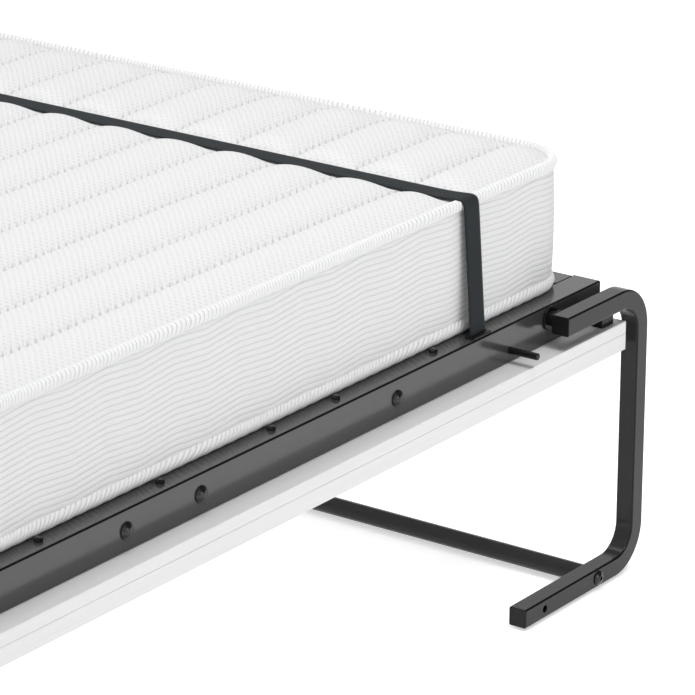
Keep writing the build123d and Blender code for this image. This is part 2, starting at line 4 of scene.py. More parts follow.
import bpy
import numpy as np
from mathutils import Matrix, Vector


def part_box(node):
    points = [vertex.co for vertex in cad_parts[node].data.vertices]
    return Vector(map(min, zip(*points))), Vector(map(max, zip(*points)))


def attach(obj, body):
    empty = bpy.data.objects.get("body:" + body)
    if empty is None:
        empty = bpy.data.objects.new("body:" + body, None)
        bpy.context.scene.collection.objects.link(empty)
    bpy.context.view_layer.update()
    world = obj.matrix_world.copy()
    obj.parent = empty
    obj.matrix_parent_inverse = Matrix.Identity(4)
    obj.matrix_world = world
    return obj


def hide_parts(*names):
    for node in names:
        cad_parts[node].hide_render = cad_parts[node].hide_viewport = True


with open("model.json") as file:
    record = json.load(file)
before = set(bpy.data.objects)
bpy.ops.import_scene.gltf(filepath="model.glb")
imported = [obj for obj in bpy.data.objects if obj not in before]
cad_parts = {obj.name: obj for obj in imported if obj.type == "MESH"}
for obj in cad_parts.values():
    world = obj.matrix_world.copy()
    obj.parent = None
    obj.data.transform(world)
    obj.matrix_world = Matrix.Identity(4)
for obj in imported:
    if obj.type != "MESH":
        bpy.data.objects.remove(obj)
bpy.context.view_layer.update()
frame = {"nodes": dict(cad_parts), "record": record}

# Looks of a fold-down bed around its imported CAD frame. Metres, row frame: +X foot end, +Z up.

MAT_LO, MAT_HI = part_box("mattress")
STRAP_LO, STRAP_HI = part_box("mattress_strap")

BED_MID_X = (MAT_LO.x + MAT_HI.x) / 2
HALF_X = (MAT_HI.x - MAT_LO.x) / 2
HALF_Y = (MAT_HI.y - MAT_LO.y) / 2
BASE_Z = MAT_LO.z
HEIGHT = MAT_HI.z - MAT_LO.z
CORNER_R = 0.072

# Quilted top, border wall and underside.
CHANNELS = 13
CHANNEL_PITCH = 2 * HALF_Y / CHANNELS
WALL_INSET = 0.0045
SEAM_INSET = 0.0125
QUILT_LOW_Z = BASE_Z + 0.1645
QUILT_CROWN = 0.0145
BORDER_LINE_PITCH = 0.0074
BORDER_WAVE = 0.119
BORDER_SWING = 0.0020
BORDER_PHASE = 3.7  # radians along the near side
BORDER_ROWS = 116
BORDER_BULGE = 0.0022
GROOVE_DEPTH = 0.0006
WALL_LOW_LIFT = 0.004
WALL_TOP_DROP = 0.002
UNDERSIDE_LIFT = 0.0005
UNDERSIDE_SCALE = 0.995

# Piped edges.
PIPE_TOP_R = 0.0068
PIPE_LOW_R = 0.0084
PIPE_TALL = 1.18
PIPE_TOP_Z = BASE_Z + HEIGHT - PIPE_TOP_R * PIPE_TALL - 0.0002
PIPE_LOW_Z = BASE_Z + PIPE_LOW_R * PIPE_TALL - 0.0002
PIPE_TOP_LEAN, PIPE_TOP_PITCH = -2.6, 0.0062
PIPE_LOW_LEAN, PIPE_LOW_PITCH = -6.5, 0.0076
RING_SAMPLES_PER_RIB = 8
GATHERS_ROUND = 260
CREASE_DEPTH = 0.2

# Strap.
STRAP_X = (STRAP_LO.x + STRAP_HI.x) / 2
STRAP_HALF = (STRAP_HI.x - STRAP_LO.x) / 2
STRAP_Z = BASE_Z + 0.1682
STRAP_T = 0.0016
STRAP_RECOVERY = 0.0115

# Fabric patterns.
KNIT_ANGLE = math.radians(38.0)
DIMPLE_PITCH = 0.0100
KNIT_COURSE_PITCH = 0.0042
SEAM_TICK_PITCH = 0.0085
BORDER_STITCH_PITCH = 0.0022
WEBBING_RIB_PITCH = 0.0016
WEBBING_TWILL_PITCH = 0.0018

# Stage, sky and camera.
FLOOR_REACH = 14.0
FLOOR_GLOW = 0.46
SKY_STRENGTH = 0.87
DARK_PATCH_DIRECTION = (0.764, -0.546, 0.347)
CAMERA_PLACE = (-3.1320, -3.2085, 2.0470)
CAMERA_TURN_DEG = (70.3650, -0.2830, -54.3650)
CAMERA_LENS = 213.080


# ---------------------------------------------------------------- node materials
def material(name, color, rough=0.5, metallic=0.0, **sockets):
    mat = bpy.data.materials.new(name)
    mat.use_nodes = True
    bsdf = mat.node_tree.nodes["Principled BSDF"]
    bsdf.inputs["Base Color"].default_value = (*color, 1)
    bsdf.inputs["Roughness"].default_value = rough
    bsdf.inputs["Metallic"].default_value = metallic
    for key, value in sockets.items():
        bsdf.inputs[key.replace("_", " ")].default_value = value
    return mat


class Nodes:
    """Short calls that add and link shader nodes in one material."""

    def __init__(self, mat, main="Principled BSDF"):
        self.tree = mat.node_tree
        self.bsdf = self.tree.nodes[main]

    def new(self, kind, **props):
        node = self.tree.nodes.new(kind)
        for key, value in props.items():
            setattr(node, key, value)
        return node

    def link(self, a, b):
        self.tree.links.new(a, b)

    def put(self, node, **values):
        for key, value in values.items():
            by_number = key[0] == "i" and key[1:].isdigit()
            socket = node.inputs[int(key[1:]) if by_number else key]
            if hasattr(value, "is_linked"):
                self.link(value, socket)
            else:
                socket.default_value = value
        return node

    def math(self, op, a, b=0.0, c=0.0, clamp=False):
        node = self.put(self.new("ShaderNodeMath", operation=op, use_clamp=clamp), i0=a, i1=b)
        if op == "MULTIPLY_ADD":
            self.put(node, i2=c)
        return node.outputs[0]

    def coords(self):
        return self.new("ShaderNodeTexCoord").outputs["Object"]

    def split(self, vector):
        node = self.put(self.new("ShaderNodeSeparateXYZ"), i0=vector)
        return node.outputs

    def scaled(self, vector, scale):
        node = self.new("ShaderNodeVectorMath", operation="MULTIPLY")
        return self.put(node, i0=vector, i1=scale).outputs[0]

    def noise(self, vector, scale, detail=2.0, rough=0.5, distortion=0.0):
        node = self.new("ShaderNodeTexNoise")
        self.put(node, Vector=vector, Scale=scale, Detail=detail, Roughness=rough, Distortion=distortion)
        return node.outputs[0]

    def ramp(self, factor, *stops):
        node = self.new("ShaderNodeValToRGB")
        elements = node.color_ramp.elements
        while len(elements) < len(stops):
            elements.new(0.5)
        for element, (place, color) in zip(elements, stops):
            element.position = place
            element.color = (*color, 1) if len(color) == 3 else color
        self.link(factor, node.inputs[0])
        return node.outputs[0]

    def span(self, value, a, b, c, d):
        node = self.new("ShaderNodeMapRange", clamp=True)
        self.put(node, i0=value, i1=a, i2=b, i3=c, i4=d)
        return node.outputs[0]

    def bump(self, height, strength, distance):
        node = self.new("ShaderNodeBump")
        self.put(node, Strength=strength, Distance=distance, Height=height)
        return node.outputs[0]

    def mix(self, factor, a, b):
        node = self.new("ShaderNodeMix", data_type="RGBA")
        self.put(node, i0=factor)
        for socket, value in ((node.inputs[6], a), (node.inputs[7], b)):
            if hasattr(value, "is_linked"):
                self.link(value, socket)
            else:
                socket.default_value = (*value, 1)
        return node.outputs[2]


def painted_steel(name, color, rough, specular=0.5, grain=0.12, edge=0.95):
    """Powder coat: fine orange peel, slow tone changes and painted shade: the shoulders along square edges
    are darkened towards black in the base colour.
    """
    mat = material(name, color, rough, Specular_IOR_Level=specular)
    n = Nodes(mat)
    p = n.coords()
    slow = n.noise(p, 9.0, 3.0)
    peel = n.noise(p, 1500.0, 2.0)
    tone = n.mix(slow, [c * 0.9 for c in color], [c * 1.1 for c in color])
    # Painted shade: the base colour goes near black on the rounded shoulders between faces, standing in for
    # the dark reflection along the tube edges; edge sets how much.
    nx, ny, nz = n.split(n.new("ShaderNodeNewGeometry").outputs["Normal"])
    side = n.math("ABSOLUTE", ny)
    rest = n.math("SQRT", n.math("SUBTRACT", 1.0, n.math("MULTIPLY", ny, ny), clamp=True))
    painted_edge_shade = n.span(n.math("MINIMUM", side, rest), 0.25, 0.5, 0.0, edge)
    n.link(n.mix(painted_edge_shade, tone, (0.0008, 0.0008, 0.0008)), n.bsdf.inputs["Base Color"])
    n.link(n.span(n.noise(p, 60.0, 2.0), 0.3, 0.7, rough - 0.03, rough + 0.04), n.bsdf.inputs["Roughness"])
    n.link(n.bump(peel, grain, 0.00012), n.bsdf.inputs["Normal"])
    return mat


def gloss_black(name, color, rough, specular=0.2, scratches=0.12):
    """Smooth black finish with faint handling marks in its gloss."""
    mat = material(name, color, rough, Specular_IOR_Level=specular)
    n = Nodes(mat)
    p = n.coords()
    marks = n.noise(n.scaled(p, (1.0, 1.0, 4.0)), 220.0, 4.0, 0.7)
    n.link(n.span(marks, 0.35, 0.75, rough, rough + scratches), n.bsdf.inputs["Roughness"])
    n.link(n.mix(n.noise(p, 45.0), color, [c * 1.6 for c in color]), n.bsdf.inputs["Base Color"])
    n.link(n.bump(n.noise(p, 700.0), 0.15, 0.0001), n.bsdf.inputs["Normal"])
    return mat


def bare_metal(name, color, rough):
    """Zinc or polished steel with fine marks drawn out along X."""
    mat = material(name, color, rough, 1.0)
    n = Nodes(mat)
    lines = n.noise(n.scaled(n.coords(), (30.0, 900.0, 900.0)), 1.0, 3.0)
    n.link(n.span(lines, 0.3, 0.7, rough * 0.7, rough * 1.5), n.bsdf.inputs["Roughness"])
    n.link(n.mix(n.noise(n.coords(), 40.0), color, [c * 0.85 for c in color]), n.bsdf.inputs["Base Color"])
    n.link(n.bump(lines, 0.12, 0.00005), n.bsdf.inputs["Normal"])
    return mat


def white_board(name):
    """White melamine: faint long grain and a soft satin."""
    color = (0.73, 0.73, 0.73)
    mat = material(name, color, 0.42, Specular_IOR_Level=0.4)
    n = Nodes(mat)
    p = n.coords()
    grain = n.noise(n.scaled(p, (6.0, 60.0, 420.0)), 1.0, 4.0, 0.6, 0.4)
    pores = n.noise(n.scaled(p, (60.0, 900.0, 900.0)), 1.0, 2.0)
    vein = n.span(grain, 0.35, 0.7, 0.0, 1.0)
    n.link(n.mix(vein, color, (0.695, 0.695, 0.70)), n.bsdf.inputs["Base Color"])
    n.link(n.span(pores, 0.3, 0.7, 0.36, 0.5), n.bsdf.inputs["Roughness"])
    relief = n.math("ADD", grain, n.math("MULTIPLY", pores, 0.4))
    n.link(n.bump(relief, 0.2, 0.00012), n.bsdf.inputs["Normal"])
    return mat


def plywood(name):
    """Lacquered beech: long fibres across the bed."""
    mat = material(name, (0.6, 0.4, 0.22), 0.38)
    n = Nodes(mat)
    p = n.coords()
    fibre = n.noise(n.scaled(p, (260.0, 7.0, 260.0)), 1.0, 5.0, 0.6, 0.8)
    bands = n.noise(n.scaled(p, (34.0, 1.6, 34.0)), 1.0, 2.0, 0.5, 1.5)
    wood = n.ramp(n.math("ADD", n.math("MULTIPLY", fibre, 0.5), n.math("MULTIPLY", bands, 0.5)),
                  (0.3, (0.36, 0.2, 0.09)), (0.5, (0.58, 0.38, 0.2)), (0.72, (0.72, 0.52, 0.31)))
    n.link(wood, n.bsdf.inputs["Base Color"])
    n.link(n.span(fibre, 0.3, 0.7, 0.32, 0.5), n.bsdf.inputs["Roughness"])
    n.link(n.bump(fibre, 0.25, 0.0002), n.bsdf.inputs["Normal"])
    return mat


def webbing(name):
    """Woven strap: ribs across the band and a fine twill; painted shade and highlight follow the weave, with
    random tone from fuzz.
    """
    color = (0.016, 0.0205, 0.023)
    mat = material(name, color, 0.8, Specular_IOR_Level=0.15)
    mat.node_tree.nodes["Principled BSDF"].inputs["Sheen Weight"].default_value = 0.05
    n = Nodes(mat)
    u, v, _ = n.split(n.new("ShaderNodeUVMap", uv_map="strap").outputs[0])
    rib = n.math("SINE", n.math("MULTIPLY", u, 2 * math.pi / WEBBING_RIB_PITCH))
    slant = n.math("ADD", n.math("MULTIPLY", u, 0.7), v)
    twill = n.math("SINE", n.math("MULTIPLY", slant, 2 * math.pi / WEBBING_TWILL_PITCH))
    weave = n.math("MULTIPLY_ADD", rib, 0.5, n.math("MULTIPLY", twill, 0.5))
    fuzz = n.noise(n.coords(), 1400.0, 2.0)
    # Painted shade and highlight: the base colour follows the weave relief, darker in its low parts and
    # lighter on its ribs; the fuzz noise adds random tone.
    shade = n.span(n.math("MULTIPLY_ADD", weave, 0.5, fuzz), -0.4, 1.3, 0.0, 1.0)
    n.link(n.mix(shade, [c * 0.62 for c in color], [c * 1.45 for c in color]), n.bsdf.inputs["Base Color"])
    n.link(n.bump(weave, 0.5, 0.00035), n.bsdf.inputs["Normal"])
    return mat


def knit_top(name):
    """White knitted ticking: offset rows of small dimples, fine courses, puckers at the channel seams;
    painted shade darkens the dimples, the puckers and the seam line.
    """
    mat = material(name, (0.80, 0.80, 0.80), 0.85)
    bsdf = mat.node_tree.nodes["Principled BSDF"]
    bsdf.inputs["Sheen Weight"].default_value = 0.2
    n = Nodes(mat)
    p = n.coords()
    x, y, _ = n.split(p)

    def dots(shift):
        cell_x = n.math("FRACT", n.math("MULTIPLY_ADD", x, 1 / DIMPLE_PITCH, 40.0 + shift))
        cell_y = n.math("FRACT", n.math("MULTIPLY_ADD", y, 1 / DIMPLE_PITCH, 40.0 + shift))
        fx = n.math("SUBTRACT", cell_x, 0.5)
        fy = n.math("SUBTRACT", cell_y, 0.5)
        r = n.math("ADD", n.math("MULTIPLY", fx, fx), n.math("MULTIPLY", fy, fy))
        return n.span(r, 0.006, 0.045, 1.0, 0.0)

    dimples = n.math("MAXIMUM", dots(0.0), dots(0.5))
    bias = n.math("SUBTRACT", n.math("MULTIPLY", x, math.sin(KNIT_ANGLE)),
                  n.math("MULTIPLY", y, math.cos(KNIT_ANGLE)))
    courses = n.math("SINE", n.math("MULTIPLY", bias, 2 * math.pi / KNIT_COURSE_PITCH))
    to_seam = n.math("ABSOLUTE", n.math("SUBTRACT", n.math("FRACT", n.math(
        "MULTIPLY_ADD", y, 1 / CHANNEL_PITCH, 40.0)), 0.5))
    near_seam = n.span(to_seam, 0.0, 0.07, 1.0, 0.0)
    beat = n.math("SINE", n.math("MULTIPLY", bias, 2 * math.pi / SEAM_TICK_PITCH))
    ticks = n.span(beat, 0.5, 0.98, 0.0, 1.0)
    stitch = n.span(to_seam, 0.003, 0.014, 0.35, 0.0)
    pucker = n.math("MAXIMUM", n.math("MULTIPLY", near_seam, ticks), stitch)
    # Painted shade: the base colour darkens in the dimples, in the pucker ticks along each seam and on the
    # seam line itself, the same marks that the bump sinks.
    dark = n.math("MAXIMUM", n.math("MULTIPLY", dimples, 0.18), n.math("MULTIPLY", pucker, 0.8), clamp=True)
    n.link(n.mix(dark, (0.735, 0.735, 0.74), (0.34, 0.34, 0.345)), n.bsdf.inputs["Base Color"])
    height = n.math("SUBTRACT", n.math("MULTIPLY", courses, 0.12), n.math("ADD", dimples, n.math(
        "MULTIPLY", pucker, 1.8)))
    fuzz = n.noise(p, 1100.0, 3.0)
    n.link(n.bump(n.math("MULTIPLY_ADD", fuzz, 0.3, height), 0.5, 0.0011), n.bsdf.inputs["Normal"])
    return mat


def knit_border(name):
    """White border fabric with painted shade: grey wavy lines darken the sewn grooves."""
    mat = material(name, (0.80, 0.80, 0.80), 0.85)
    bsdf = mat.node_tree.nodes["Principled BSDF"]
    bsdf.inputs["Sheen Weight"].default_value = 0.2
    n = Nodes(mat)
    u, v, _ = n.split(n.new("ShaderNodeUVMap", uv_map="border").outputs[0])
    line = n.math("COSINE", n.math("MULTIPLY", v, 2 * math.pi))
    groove = n.math("POWER", n.math("MULTIPLY_ADD", line, 0.5, 0.5), 7.0)
    fine = n.math("SINE", n.math("MULTIPLY", v, 2 * math.pi * 4))
    stitch = n.math("SINE", n.math("MULTIPLY", u, 2 * math.pi / BORDER_STITCH_PITCH))
    fuzz = n.noise(n.coords(), 1200.0, 3.0)
    # Painted shade: the base colour goes grey along the sewn grooves, which the bump also sinks.
    n.link(n.mix(groove, (0.735, 0.735, 0.74), (0.61, 0.61, 0.615)), n.bsdf.inputs["Base Color"])
    knit = n.math("MULTIPLY_ADD", fine, 0.15, n.math("MULTIPLY", stitch, 0.12))
    n.link(n.bump(n.math("MULTIPLY_ADD", fuzz, 0.3, n.math("SUBTRACT", knit, groove)), 0.45, 0.0007),
           n.bsdf.inputs["Normal"])
    return mat


def piping_cloth(name):
    """Edge tape: white knit wrapped over a cord, with painted shade darkening the creases between its ribs.
    """
    mat = material(name, (0.82, 0.82, 0.82), 0.8)
    bsdf = mat.node_tree.nodes["Principled BSDF"]
    bsdf.inputs["Sheen Weight"].default_value = 0.25
    n = Nodes(mat)
    _, rib, _ = n.split(n.new("ShaderNodeUVMap", uv_map="rib").outputs[0])
    # Painted shade: the base colour darkens where the rib value is low, in the creases that the piping mesh
    # pinches in.
    n.link(n.mix(n.span(rib, 0.0, 0.4, 1.0, 0.0), (0.78, 0.78, 0.785), (0.37, 0.37, 0.375)),
           n.bsdf.inputs["Base Color"])
    n.link(n.bump(n.noise(n.coords(), 1000.0, 3.0), 0.3, 0.0005), n.bsdf.inputs["Normal"])
    return mat


# ---------------------------------------------------------------- mesh helpers
def mesh_piece(name, verts, faces, mats, face_mats=None):
    """Smooth mesh object that rides on the bed frame; faces is a list of vertex lists."""
    mesh = bpy.data.meshes.new(name)
    mesh.from_pydata([tuple(v) for v in np.asarray(verts).tolist()], [], faces)
    for mat in mats:
        mesh.materials.append(mat)
    if face_mats is not None:
        mesh.polygons.foreach_set("material_index", np.asarray(face_mats, np.int32))
    mesh.polygons.foreach_set("use_smooth", np.full(len(mesh.polygons), True))
    mesh.update()
    obj = bpy.data.objects.new(name, mesh)
    bpy.context.collection.objects.link(obj)
    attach(obj, "bed_frame")
    return obj


def set_uv(obj, name, per_vertex):
    layer = obj.data.uv_layers.new(name=name)
    index = np.empty(len(obj.data.loops), np.int32)
    obj.data.loops.foreach_get("vertex_index", index)
    layer.data.foreach_set("uv", np.asarray(per_vertex, np.float32)[index].ravel())


def outline(s, inset):
    """Place and outward normal s metres round the rounded rectangle, and the length all round."""
    a, b, r = HALF_X, HALF_Y, CORNER_R
    arc = math.pi / 2 * r
    runs = [(2 * (b - r)), arc, 2 * (a - r), arc, 2 * (b - r), arc, 2 * (a - r), arc]
    total = sum(runs)
    s = np.mod(s, total)
    x, y = np.zeros_like(s), np.zeros_like(s)
    nx, ny = np.zeros_like(s), np.zeros_like(s)
    corners = [((a - r), (b - r)), (-(a - r), (b - r)), (-(a - r), -(b - r)), ((a - r), -(b - r))]
    start = 0.0
    for k in range(4):
        turn = k * math.pi / 2
        d, t = np.array([math.cos(turn), math.sin(turn)]), np.array([-math.sin(turn), math.cos(turn)])
        prev = np.array(corners[k - 1])
        length = runs[2 * k]
        m = (s >= start) & (s < start + length)
        q = s[m] - start
        x[m] = prev[0] + d[0] * r + t[0] * q
        y[m] = prev[1] + d[1] * r + t[1] * q
        nx[m], ny[m] = d
        start += length
        m = (s >= start) & (s < start + arc)
        ang = turn + (s[m] - start) / r
        x[m] = corners[k][0] + np.cos(ang) * r
        y[m] = corners[k][1] + np.sin(ang) * r
        nx[m], ny[m] = np.cos(ang), np.sin(ang)
        start += arc
    return x - nx * inset, y - ny * inset, nx, ny, total


PERIMETER = outline(np.array([0.0]), 0.0)[4]


def edge_distance(x, y):
    """Distance inside the mattress outline."""
    qx, qy = np.abs(x) - (HALF_X - CORNER_R), np.abs(y) - (HALF_Y - CORNER_R)
    outside = np.hypot(np.maximum(qx, 0), np.maximum(qy, 0))
    return CORNER_R - (outside + np.minimum(np.maximum(qx, qy), 0))


def quilt_height(x, y):
    """Top surface above the piping's middle: crowned channels, flat ends, and the dent under the strap."""
    t = np.mod(y / CHANNEL_PITCH + 0.5, 1.0)
    crown = (4 * t * (1 - t)) ** 0.8
    inside = np.clip((edge_distance(x, y) - SEAM_INSET) / 0.055, 0, 1)
    swell = np.sin(inside * math.pi / 2) ** 0.8
    wobble = 1 + 0.05 * np.sin(x * 23 + y * 11) * np.sin(x * 7 - y * 31)
    z = QUILT_CROWN * crown * swell * wobble + 0.0012 * swell
    gap = np.maximum(np.abs(x - (STRAP_X - BED_MID_X)) - STRAP_HALF - 0.0004, 0)
    free = 1 - np.exp(-gap / STRAP_RECOVERY)
    pressed = STRAP_Z - STRAP_T - 0.0006 - QUILT_LOW_Z
    return np.where(z > pressed, pressed + (z - pressed) * free, z)


# ---------------------------------------------------------------- mattress
def graded(lo, hi, step, zones):
    """Row places with finer steps near some places: zones are (centre, reach, step)."""
    out, x = [lo], lo
    while x < hi - 1e-9:
        s = step
        for c, reach, fine in zones:
            if abs(x + 0.5 * fine - c) < reach:
                s = min(s, fine)
        x += s
        out.append(min(x, hi))
    if out[-1] - out[-2] < 0.3 * step and len(out) > 2:
        out.pop(-2)
    return np.array(out)


def mattress_cover(top_mat, border_mat, under_mat):
    """Closed cover: quilted top, border wall with sewn wavy grooves, flat underside."""
    inset = SEAM_INSET
    a, b, r = HALF_X - inset, HALF_Y - inset, CORNER_R - inset
    strap = STRAP_X - BED_MID_X
    xs = graded(-a, a, 0.008, [(-a, 0.07, 0.004), (a, 0.07, 0.004), (strap, 0.05, 0.0025)])
    step = CHANNEL_PITCH / 20
    inner = np.arange(0, b - r, step)
    arcs = b - r + r * np.sin(np.linspace(0, math.pi / 2, 15))
    half = np.concatenate([inner, arcs])
    ys = np.concatenate([-half[::-1][:-1], half])
    gx, gy = np.meshgrid(xs, ys, indexing="ij")
    over = np.maximum(np.abs(gy) - (b - r), 0)
    limit = a - r + np.sqrt(np.maximum(r * r - over * over, 0))
    knee = a - 2 * r
    ax = np.abs(gx)
    squeezed = knee + (ax - knee) * (limit - knee) / (a - knee)
    px = np.where(ax > knee, np.sign(gx) * squeezed, gx)
    pz = QUILT_LOW_Z + quilt_height(px, gy)
    nx, ny = px.shape
    verts = [np.stack([px.ravel(), gy.ravel(), pz.ravel()], 1)]
    grid = np.arange(nx * ny).reshape(nx, ny)
    quads = np.stack([grid[:-1, :-1], grid[1:, :-1], grid[1:, 1:], grid[:-1, 1:]], -1).reshape(-1, 4)
    faces = [quads]
    kinds = [np.zeros(len(quads), int)]
    loop = np.concatenate([grid[:-1, 0], grid[-1, :-1], grid[:0:-1, -1], grid[0, :0:-1]])
    ring = verts[0][loop][:, :2]
    m = len(loop)
    nrm = np.zeros_like(ring)
    for k in range(m):
        x, y = ring[k]
        qx, qy = abs(x) - (a - r), abs(y) - (b - r)
        v = np.array([max(qx, 0) * np.sign(x), max(qy, 0) * np.sign(y)])
        if qx > 0 and qy > 0:
            nrm[k] = v / np.linalg.norm(v)
        elif qx > qy:
            nrm[k] = (np.sign(x), 0)
        else:
            nrm[k] = (0, np.sign(y))
    along = np.concatenate([[0], np.cumsum(np.linalg.norm(np.diff(ring, axis=0), axis=1))])
    around = along[-1] + np.linalg.norm(ring[-1] - ring[0])
    turns = 2 * math.pi * round(around / BORDER_WAVE) / around
    rows = BORDER_ROWS
    z_lo, z_hi = BASE_Z + WALL_LOW_LIFT, PIPE_TOP_Z - WALL_TOP_DROP
    h = np.linspace(0, 1, rows)
    count = nx * ny
    uv_rows = []
    for k in range(rows):
        t = h[::-1][k]
        z = z_lo + (z_hi - z_lo) * t
        bulge = BORDER_BULGE * math.sin(math.pi * t)
        place = turns * along - BORDER_PHASE
        wave = BORDER_SWING * (np.sin(place) - np.sin(3 * place) / 9)
        v = (z - z_lo + wave) / BORDER_LINE_PITCH
        groove = (0.5 + 0.5 * np.cos(2 * math.pi * v)) ** 5
        out = inset - WALL_INSET + bulge - GROOVE_DEPTH * groove
        p = ring + nrm * out[:, None]
        verts.append(np.column_stack([p, np.full(m, z)]))
        uv_rows.append(np.column_stack([along, v]))
    walls = np.arange(rows * m).reshape(rows, m) + count
    top_ring = np.concatenate([loop[None, :], walls], 0)
    nxt = np.roll(top_ring, -1, axis=1)
    side = np.stack([top_ring[:-1], top_ring[1:], nxt[1:], nxt[:-1]], -1).reshape(-1, 4)
    faces.append(side)
    kinds.append(np.ones(len(side), int))
    low = walls[-1]
    base = count + rows * m
    under_ring = ring * UNDERSIDE_SCALE
    verts.append(np.column_stack([under_ring, np.full(m, BASE_Z + UNDERSIDE_LIFT)]))
    under = np.arange(m) + base
    tie = np.stack([low, under, np.roll(under, -1), np.roll(low, -1)], -1)
    faces.append(tie)
    kinds.append(np.full(len(tie), 2))
    floor_grid = np.column_stack([px.ravel() * UNDERSIDE_SCALE, gy.ravel() * UNDERSIDE_SCALE,
                                  np.full(count, BASE_Z + UNDERSIDE_LIFT)])
    inner_start = base + m
    verts.append(floor_grid)
    lookup = grid + inner_start
    coarse = np.stack([lookup[:-1, :-1], lookup[:-1, 1:], lookup[1:, 1:], lookup[1:, :-1]], -1).reshape(-1, 4)
    remap = np.arange(inner_start + count)
    remap[loop + inner_start] = under
    coarse = remap[coarse]
    faces.append(coarse)
    kinds.append(np.full(len(coarse), 2))
    verts = np.concatenate(verts)
    verts[:, 0] += BED_MID_X
    faces = np.concatenate(faces)
    used = np.zeros(len(verts), bool)
    used[faces.ravel()] = True
    renumber = np.cumsum(used) - 1
    mats = [top_mat, border_mat, under_mat]
    obj = mesh_piece("mattress_cover", verts[used], renumber[faces].tolist(), mats,
                     face_mats=np.concatenate(kinds))
    uv = np.zeros((len(verts), 2))
    uv[count:count + rows * m] = np.concatenate(uv_rows)
    set_uv(obj, "border", uv[used])
    return obj


def piping(name, z, mat, size, lean, pitch):
    """Cord edge wrapped in gathered tape: diagonal ribs, pinched where the sewing pulls."""
    ribs = int(PERIMETER / pitch)
    m = ribs * RING_SAMPLES_PER_RIB
    s = np.arange(m) * PERIMETER / m
    ang = np.radians(np.concatenate([np.linspace(-100, 100, 21), (133, 180, 227)]))
    k = len(ang)
    S, A = np.meshgrid(s, ang, indexing="ij")
    once = 2 * math.pi * S / PERIMETER
    # Whole numbers of waves all round, so that the ring's two ends meet.
    gather = 0.5 + 0.5 * np.sin(GATHERS_ROUND * once + 2.0 * np.sin(9 * once))
    stretch = 14.0 * np.sin(11 * once + 0.4) + 5.0 * np.sin(29 * once + 2.0)
    phase = ribs * once + stretch + lean * np.sin(A)
    rib = np.abs(np.sin(phase / 2))
    radius = size * (1 - CREASE_DEPTH * (1 - rib) ** 2.0) * (1 - 0.05 * gather)
    x, y, nx, ny, _ = outline(s, size)
    X = x[:, None] + nx[:, None] * np.cos(A) * radius
    Y = y[:, None] + ny[:, None] * np.cos(A) * radius
    Z = z + np.sin(A) * radius * PIPE_TALL
    dent = np.abs(X - (STRAP_X - BED_MID_X)) < STRAP_HALF + 0.001
    strap_top = STRAP_Z + 0.0015
    Z = np.where(dent & (Z > strap_top), strap_top, Z)
    verts = np.stack([X.ravel() + BED_MID_X, Y.ravel(), Z.ravel()], 1)
    idx = np.arange(m * k).reshape(m, k)
    a, b = idx, np.roll(idx, -1, axis=0)
    faces = np.stack([a, np.roll(a, -1, axis=1), np.roll(b, -1, axis=1), b], -1).reshape(-1, 4)[:, ::-1]
    obj = mesh_piece(name, verts, faces.tolist(), [mat])
    set_uv(obj, "rib", np.stack([S.ravel(), rib.ravel()], 1))
    return obj


def strap(mat):
    """Flat band pulled over the crowns, down past both edges to the guides."""
    foot_y = STRAP_HI.y - 0.001
    foot_z = STRAP_LO.z + 0.0002
    path = [(0.0, STRAP_Z), (HALF_Y - 0.045, STRAP_Z + 0.0003), (HALF_Y - 0.018, STRAP_Z + 0.0016),
            (HALF_Y - 0.006, STRAP_Z + 0.0034), (HALF_Y + 0.0012, STRAP_Z + 0.0008),
            (HALF_Y + 0.0030, STRAP_Z - 0.0060), (foot_y - 0.001, foot_z + 0.008), (foot_y, foot_z)]
    pts = []
    for (y0, z0), (y1, z1) in zip(path[:-1], path[1:]):
        n = max(2, int(math.hypot(y1 - y0, z1 - z0) / 0.006))
        for i in range(n):
            pts.append((y0 + (y1 - y0) * i / n, z0 + (z1 - z0) * i / n))
    pts.append(path[-1])
    pts = np.array(pts)
    for _ in range(2):
        pts[1:-1] = 0.25 * pts[:-2] + 0.5 * pts[1:-1] + 0.25 * pts[2:]
    line = np.concatenate([np.column_stack([-pts[:0:-1, 0], pts[:0:-1, 1]]), pts])
    t = np.gradient(line, axis=0)
    t /= np.linalg.norm(t, axis=1)[:, None]
    nrm = np.column_stack([-t[:, 1], t[:, 0]])
    length = np.concatenate([[0], np.cumsum(np.linalg.norm(np.diff(line, axis=0), axis=1))])
    across = np.linspace(-1, 1, 9)
    half = STRAP_T / 2
    section = [(w, half * (1 - 0.35 * abs(w) ** 6)) for w in across] + [
        (w, -half * (1 - 0.35 * abs(w) ** 6)) for w in across[::-1]]
    verts, uv = [], []
    for (y, z), (ny, nz), s in zip(line, nrm, length):
        for w, o in section:
            verts.append((STRAP_X + w * STRAP_HALF, y + ny * o, z + nz * o))
            uv.append((s, w * STRAP_HALF))
    m, k = len(line), len(section)
    idx = np.arange(m * k).reshape(m, k)
    a, b = idx[:-1], idx[1:]
    faces = np.stack([a, np.roll(a, -1, axis=1), np.roll(b, -1, axis=1), b], -1).reshape(-1, 4).tolist()
    faces += [list(idx[0][::-1]), list(idx[-1])]
    obj = mesh_piece("strap_band", verts, faces, [mat])
    set_uv(obj, "strap", uv)
    return obj


# ---------------------------------------------------------------- build the pieces
ticking = knit_top("ticking_top")
border = knit_border("ticking_border")
underside = knit_top("ticking_under")
tape = piping_cloth("piping_tape")

cover = mattress_cover(ticking, border, underside)
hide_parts("mattress")
for pipe in (piping("mattress_piping_top", PIPE_TOP_Z, tape, PIPE_TOP_R,
                    PIPE_TOP_LEAN, PIPE_TOP_PITCH),
             piping("mattress_piping_bottom", PIPE_LOW_Z, tape, PIPE_LOW_R,
                    PIPE_LOW_LEAN, PIPE_LOW_PITCH)):
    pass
band = strap(webbing("strap_webbing"))
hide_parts("mattress_strap")

